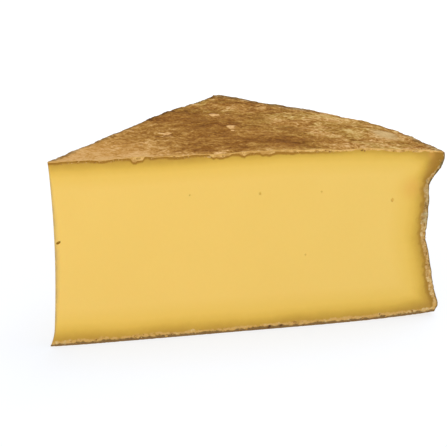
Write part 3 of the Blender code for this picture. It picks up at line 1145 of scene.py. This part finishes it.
def cheeseWedge():
    bm = sweptWedge()
    layers = {name: bm.verts.layers.float.new(name) for name in factNames}
    for vert in bm.verts:
        place, facts = withRelief(vert.co)
        facts.update(patchFacts(*(value / mm for value in place)))
        for name, layer in layers.items():
            vert[layer] = facts[name]
        vert.co = place + axisAt
    bmesh.ops.recalc_face_normals(bm, faces=bm.faces)
    for face in bm.faces:
        face.smooth = True
    mesh = bpy.data.meshes.new("cheese_wedge_surface")
    bm.to_mesh(mesh)
    bm.free()
    print("relief on", len(mesh.vertices), "points")
    mesh.materials.append(rindMaterial())  # in the order of materialSlots
    mesh.materials.append(pasteMaterial())
    mesh.materials.append(hollowMaterial("dark_slit"))
    mesh.materials.append(hollowMaterial("pinhole"))
    print("materials", [material.name for material in mesh.materials])
    mesh = withHoles(mesh)
    mesh.set_sharp_from_angle(angle=grid["sharpFrom"])
    piece = newObject("cheese_surface", mesh)
    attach(piece, "root")
    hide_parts("cheese_wedge")
    triangles = sum(len(polygon.vertices) - 2 for polygon in mesh.polygons)
    print("wedge", len(mesh.vertices), "points", triangles, "triangles")


cheeseWedge()

# loose grains and flakes of rind that cling to the torn edges of the cuts
crumbs = {
    "count": 460,
    "seed": 5,
    "least": 0.22 * mm,
    "most": 0.65 * mm,
    "large": 1.1 * mm,
    "largeSpread": (0.7, 1.0),
    "largeEvery": 14,
    "edges": ("top", "top", "base", "heel"),  # half of them cling to the top edge
    "onBack": 0.4,  # share of them on the back cut
    # where they cling, as limits in mm
    "along": (6.0, 262.0),
    "underTop": (0.4, 1.6),
    "overBase": (1.2, 3.6),
    "upHeel": (6.0, 114.0),
    "inHeel": (0.4, 3.8),
    "spin": (0.0, 6.3),
    "tilt": (-0.6, 0.6),
    "length": (0.8, 1.6),
    "width": (0.4, 0.8),
    "thickness": (0.5, 0.9),
    "rough": 0.5,
    "roughScale": 1.7,
    "rollNext": (3.7, 1.3),  # how far the noise moves from one crumb to the next
}
crumbLook = {
    "roughness": 0.85,
    "specular": 0.1,
    "spotted": {"blotch": (5.0, 2.0, 0.6, 0.0, 0.3, 0.7), "fleck": (1.2, 2.0, 0.6, 0.0, 0.3, 0.7)},
    "grain": (0.6, 2.0, 0.6),  # size in mm, detail, roughness
    "bumpStrength": 0.6,
    "bumpDepth": 0.2 * mm,
    "colours": {
        "dark": (132, 86, 34),
        "brown": (184, 138, 70),
        "tan": (208, 164, 92),
        "pale": (230, 198, 138),
    },
    "stops": ((0.15, "dark"), (0.42, "brown"), (0.68, "tan"), (0.92, "pale")),
}


def crumbMaterial():
    material, tree, shader = newMaterial("rind_crumb", crumbLook)
    marks = spottedMarks(tree, crumbLook)
    tone = weighted(tree, *shares(marks, blotch=0.6, fleck=0.4))
    colour = ramp(tree, tone, coloursOf(crumbLook), crumbLook["stops"])
    tree.links.new(colour, shader.inputs["Base Color"])
    size, detail, roughness = crumbLook["grain"]
    grain = clouds(tree, size * mm, detail, roughness)
    addBumps(tree, shader, grain, crumbLook["bumpStrength"], crumbLook["bumpDepth"])
    return material


# a point of the plain wedge at the edge of a cut, where the rind is torn
def crumbStart(draw):
    radius = draw.uniform(*crumbs["along"]) * mm
    edge = draw.choice(crumbs["edges"])
    if edge == "top":
        height = topHeight(radius) - draw.uniform(*crumbs["underTop"]) * mm
    elif edge == "base":
        height = baseHeight(radius) + draw.uniform(*crumbs["overBase"]) * mm
    else:
        height = draw.uniform(*crumbs["upHeel"]) * mm
        radius = heelRadius(height) - draw.uniform(*crumbs["inHeel"]) * mm
    turn = Matrix.Rotation(wheel["angle"] if draw.random() < crumbs["onBack"] else 0.0, 3, "Z")
    return turn @ Vector((radius, 0.0, height))


def addCrumb(bm, draw, n):
    middle = withRelief(crumbStart(draw))[0] + axisAt
    size = crumbs["least"] + (crumbs["most"] - crumbs["least"]) * draw.random() ** 2
    if n % crumbs["largeEvery"] == 0:
        size = crumbs["large"] * draw.uniform(*crumbs["largeSpread"])
    spin = Matrix.Rotation(draw.uniform(*crumbs["spin"]), 3, "Z")
    turn = spin @ Matrix.Rotation(draw.uniform(*crumbs["tilt"]), 3, "X")
    flat = Vector([draw.uniform(*crumbs[name]) for name in ("length", "width", "thickness")])
    shift = Vector((*(n * step for step in crumbs["rollNext"]), 0.0))
    for vert in bmesh.ops.create_icosphere(bm, subdivisions=2, radius=1.0)["verts"]:
        rough = 1.0 + crumbs["rough"] * noise.noise(vert.co * crumbs["roughScale"] + shift)
        vert.co = turn @ (vert.co * flat * size * rough) + middle
        vert.co.z = max(vert.co.z, 0.0)


def crumbPiece():
    draw = random.Random(crumbs["seed"])
    bm = bmesh.new()
    for n in range(crumbs["count"]):
        addCrumb(bm, draw, n)
    mesh = bpy.data.meshes.new("rind_crumbs")
    bm.to_mesh(mesh)
    bm.free()
    mesh.shade_smooth()
    mesh.materials.append(crumbMaterial())
    piece = newObject("rind_crumbs", mesh)
    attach(piece, "root")
    print("crumbs", len(mesh.polygons), "triangles")


crumbPiece()

camera = {
    "place": (-81.1 * mm, -805.2 * mm, 324.9 * mm),  # from the wheel's axis
    "yaw": math.radians(13.68),
    "pitch": math.radians(16.627),
    "roll": math.radians(0.276),
    "sensor": 36.0,
    "lens": 105.2215,
    "clip": (0.01, 50.0),
}


def addCamera():
    yaw = camera["yaw"]
    pitch = camera["pitch"]
    roll = camera["roll"]
    ahead = Vector((math.sin(yaw) * math.cos(pitch), math.cos(yaw) * math.cos(pitch), -math.sin(pitch)))
    right = Vector((math.cos(yaw), -math.sin(yaw), 0.0))
    up = right.cross(ahead)
    turned = right * math.cos(roll) + up * math.sin(roll)
    upright = up * math.cos(roll) - right * math.sin(roll)
    data = bpy.data.cameras.new("camera")
    data.sensor_width = camera["sensor"]
    data.lens = camera["lens"]
    data.clip_start, data.clip_end = camera["clip"]
    eye = newObject("camera", data)
    facing = Matrix((turned, upright, -ahead)).transposed().to_4x4()
    eye.matrix_world = Matrix.Translation(axisAt + Vector(camera["place"])) @ facing
    bpy.context.scene.camera = eye
    print("camera at", [round(value, 3) for value in eye.matrix_world.translation])


addCamera()

# a pale table that the light fills almost to white
table = {
    "size": 8.0,
    "drop": 0.05 * mm,  # its top is this far under the cheese
    "roughness": 0.9,
    "specular": 0.0,
    "colour": (0.262, 0.285, 0.325, 1.0),
    "glowColour": (0.98, 0.985, 1.0, 1.0),
    "glow": (0.12, 1.0, 0.75, 0.95),  # near and far distance, and the glow at each
}


def addTable():
    bpy.ops.mesh.primitive_plane_add(size=table["size"], location=(0.0, 0.0, -table["drop"]))
    floor = bpy.context.object
    floor.name = "table"
    material, tree, shader = newMaterial("white_table", table)
    shader.inputs["Base Color"].default_value = table["colour"]
    shader.inputs["Emission Color"].default_value = table["glowColour"]
    coordinates = addNode(tree, "ShaderNodeTexCoord").outputs["Object"]
    away = addNode(tree, "ShaderNodeVectorMath", {0: coordinates}, operation="LENGTH").outputs["Value"]
    tree.links.new(blendBetween(tree, away, *table["glow"]), shader.inputs["Emission Strength"])
    floor.data.materials.append(material)
    print("table", table["size"], "m")


addTable()

# each lamp's place, what it points at, its side and its power
lamps = {
    "key": ((-0.7, -1.6, 0.55), (0.0, 0.0, 0.05), 1.0, 7.6),
    "overhead": ((0.6, 0.45, 1.55), (0.0, 0.0, 0.0), 1.5, 17.5),
}
skyColour = (1.0, 1.0, 1.0, 1.0)
skyStrength = 0.53


def addLamp(name, place, target, size, power):
    data = bpy.data.lights.new(name, "AREA")
    data.shape = "SQUARE"
    data.size = size
    data.energy = power
    lamp = newObject(name, data)
    lamp.location = place
    lamp.rotation_mode = "QUATERNION"
    lamp.rotation_quaternion = (Vector(target) - Vector(place)).to_track_quat("-Z", "Y")


def addSky():
    world = bpy.data.worlds.new("studio")
    world.use_nodes = True
    background = world.node_tree.nodes["Background"]
    background.inputs["Color"].default_value = skyColour
    background.inputs["Strength"].default_value = skyStrength
    bpy.context.scene.world = world


for name, values in lamps.items():
    addLamp(name, *values)
addSky()
bpy.context.scene.view_settings.view_transform = "Standard"
print("lamps", len(lamps))
